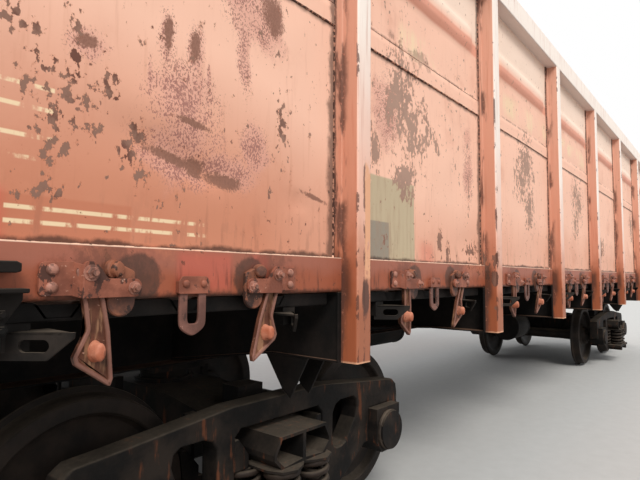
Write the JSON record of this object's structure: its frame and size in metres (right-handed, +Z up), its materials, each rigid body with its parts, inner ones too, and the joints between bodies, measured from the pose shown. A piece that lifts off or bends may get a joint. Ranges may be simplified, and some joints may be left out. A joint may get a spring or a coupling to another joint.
{
  "type": "four-axle open goods wagon with drop-bottom hatches",
  "caption": "Open-topped railway goods wagon on bogies, with ribbed steel sides and a flat floor of latched drop hatches.",
  "frame": {"origin": "middle of the wagon, on the level of the wheel flanges' lowest points, 28 mm below the rail head", "axes": "+X along the wagon, +Y to its left side seen looking along +X, +Z up"},
  "size_m": [13.92, 3.178, 3.808],
  "materials": {
    "body_paint": "weathered salmon-orange paint, chalky, with rust",
    "bogie_cast": "dark dusty cast steel",
    "chord_paint": "dull red-brown paint, rusty",
    "frame_paint": "near-black paint under brown dust",
    "latch_steel": "rusty forged steel",
    "spring_steel": "dark rusty spring steel",
    "wheel_steel": "rolled steel, bright tread, brown web"
  },
  "bodies": {
    "root": {"air_reservoir": "frame_paint", "bolster_beams": "frame_paint", "bottom_chords": "chord_paint", "brake_cylinder": "frame_paint", "brake_pipe": "frame_paint", "centre_plates": "bogie_cast", "centre_sill": "frame_paint", "corner_posts": "body_paint", "corner_steps": "frame_paint", "couplers": "bogie_cast", "cross_beams": "frame_paint", "end_beams": "frame_paint", "end_floors": "frame_paint", "end_ladders": "frame_paint", "end_walls": "body_paint", "lock_hooks": "latch_steel", "lock_plates": "latch_steel", "lock_sectors": "latch_steel", "ridge_beam": "frame_paint", "side_posts": "body_paint", "side_sheets_lower": "body_paint", "side_sheets_upper": "body_paint", "striker_castings": "bogie_cast", "tie_shackles": "latch_steel", "top_chords": "body_paint", "towing_brackets": "chord_paint", "uncoupling_levers": "frame_paint"},
    "bogie_a": {"axle_boxes_a": "bogie_cast", "bogie_bolster_a": "bogie_cast", "brake_beams_a": "bogie_cast", "side_frames_a": "bogie_cast", "springs_a": "spring_steel", "wedges_a": "bogie_cast"},
    "bogie_b": {"axle_boxes_b": "bogie_cast", "bogie_bolster_b": "bogie_cast", "brake_beams_b": "bogie_cast", "side_frames_b": "bogie_cast", "springs_b": "spring_steel", "wedges_b": "bogie_cast"},
    "hatch_l1": {"hatch_l1": "frame_paint"},
    "hatch_l2": {"hatch_l2": "frame_paint"},
    "hatch_l3": {"hatch_l3": "frame_paint"},
    "hatch_l4": {"hatch_l4": "frame_paint"},
    "hatch_l5": {"hatch_l5": "frame_paint"},
    "hatch_l6": {"hatch_l6": "frame_paint"},
    "hatch_l7": {"hatch_l7": "frame_paint"},
    "hatch_r1": {"hatch_r1": "frame_paint"},
    "hatch_r2": {"hatch_r2": "frame_paint"},
    "hatch_r3": {"hatch_r3": "frame_paint"},
    "hatch_r4": {"hatch_r4": "frame_paint"},
    "hatch_r5": {"hatch_r5": "frame_paint"},
    "hatch_r6": {"hatch_r6": "frame_paint"},
    "hatch_r7": {"hatch_r7": "frame_paint"},
    "wheelset_1": {"wheelset_1": "wheel_steel"},
    "wheelset_2": {"wheelset_2": "wheel_steel"},
    "wheelset_3": {"wheelset_3": "wheel_steel"},
    "wheelset_4": {"wheelset_4": "wheel_steel"}
  },
  "joints": [
    {"name": "bogie_a_swivel", "type": "hinge", "parent": "root", "child": "bogie_a", "pos_m": [-4.325, 0, 0.818], "axis": [0, 0, 1], "range_deg": [-3, 3]},
    {"name": "bogie_b_swivel", "type": "hinge", "parent": "root", "child": "bogie_b", "pos_m": [4.325, 0, 0.818], "axis": [0, 0, 1], "range_deg": [-3, 3]},
    {"name": "wheelset_1_spin", "type": "hinge", "parent": "bogie_a", "child": "wheelset_1", "pos_m": [-5.25, 0, 0.5065], "axis": [0, 1, 0], "continuous": true},
    {"name": "wheelset_2_spin", "type": "hinge", "parent": "bogie_a", "child": "wheelset_2", "pos_m": [-3.4, 0, 0.5065], "axis": [0, 1, 0], "continuous": true},
    {"name": "wheelset_3_spin", "type": "hinge", "parent": "bogie_b", "child": "wheelset_3", "pos_m": [3.4, 0, 0.5065], "axis": [0, 1, 0], "continuous": true},
    {"name": "wheelset_4_spin", "type": "hinge", "parent": "bogie_b", "child": "wheelset_4", "pos_m": [5.25, 0, 0.5065], "axis": [0, 1, 0], "continuous": true},
    {"name": "hatch_r1_hinge", "type": "hinge", "parent": "root", "child": "hatch_r1", "pos_m": [-5.215, -0.14, 1.38], "axis": [1, 0, 0], "range_deg": [0, 25]},
    {"name": "hatch_r2_hinge", "type": "hinge", "parent": "root", "child": "hatch_r2", "pos_m": [-3.46, -0.14, 1.38], "axis": [1, 0, 0], "range_deg": [0, 25]},
    {"name": "hatch_r3_hinge", "type": "hinge", "parent": "root", "child": "hatch_r3", "pos_m": [-1.73, -0.14, 1.38], "axis": [1, 0, 0], "range_deg": [0, 31]},
    {"name": "hatch_r4_hinge", "type": "hinge", "parent": "root", "child": "hatch_r4", "pos_m": [0, -0.14, 1.38], "axis": [1, 0, 0], "range_deg": [0, 31]},
    {"name": "hatch_r5_hinge", "type": "hinge", "parent": "root", "child": "hatch_r5", "pos_m": [1.73, -0.14, 1.38], "axis": [1, 0, 0], "range_deg": [0, 31]},
    {"name": "hatch_r6_hinge", "type": "hinge", "parent": "root", "child": "hatch_r6", "pos_m": [3.46, -0.14, 1.38], "axis": [1, 0, 0], "range_deg": [0, 25]},
    {"name": "hatch_r7_hinge", "type": "hinge", "parent": "root", "child": "hatch_r7", "pos_m": [5.215, -0.14, 1.38], "axis": [1, 0, 0], "range_deg": [0, 25]},
    {"name": "hatch_l1_hinge", "type": "hinge", "parent": "root", "child": "hatch_l1", "pos_m": [-5.215, 0.14, 1.38], "axis": [-1, 0, 0], "range_deg": [0, 25]},
    {"name": "hatch_l2_hinge", "type": "hinge", "parent": "root", "child": "hatch_l2", "pos_m": [-3.46, 0.14, 1.38], "axis": [-1, 0, 0], "range_deg": [0, 25]},
    {"name": "hatch_l3_hinge", "type": "hinge", "parent": "root", "child": "hatch_l3", "pos_m": [-1.73, 0.14, 1.38], "axis": [-1, 0, 0], "range_deg": [0, 31]},
    {"name": "hatch_l4_hinge", "type": "hinge", "parent": "root", "child": "hatch_l4", "pos_m": [0, 0.14, 1.38], "axis": [-1, 0, 0], "range_deg": [0, 31]},
    {"name": "hatch_l5_hinge", "type": "hinge", "parent": "root", "child": "hatch_l5", "pos_m": [1.73, 0.14, 1.38], "axis": [-1, 0, 0], "range_deg": [0, 31]},
    {"name": "hatch_l6_hinge", "type": "hinge", "parent": "root", "child": "hatch_l6", "pos_m": [3.46, 0.14, 1.38], "axis": [-1, 0, 0], "range_deg": [0, 25]},
    {"name": "hatch_l7_hinge", "type": "hinge", "parent": "root", "child": "hatch_l7", "pos_m": [5.215, 0.14, 1.38], "axis": [-1, 0, 0], "range_deg": [0, 25]}
  ]
}
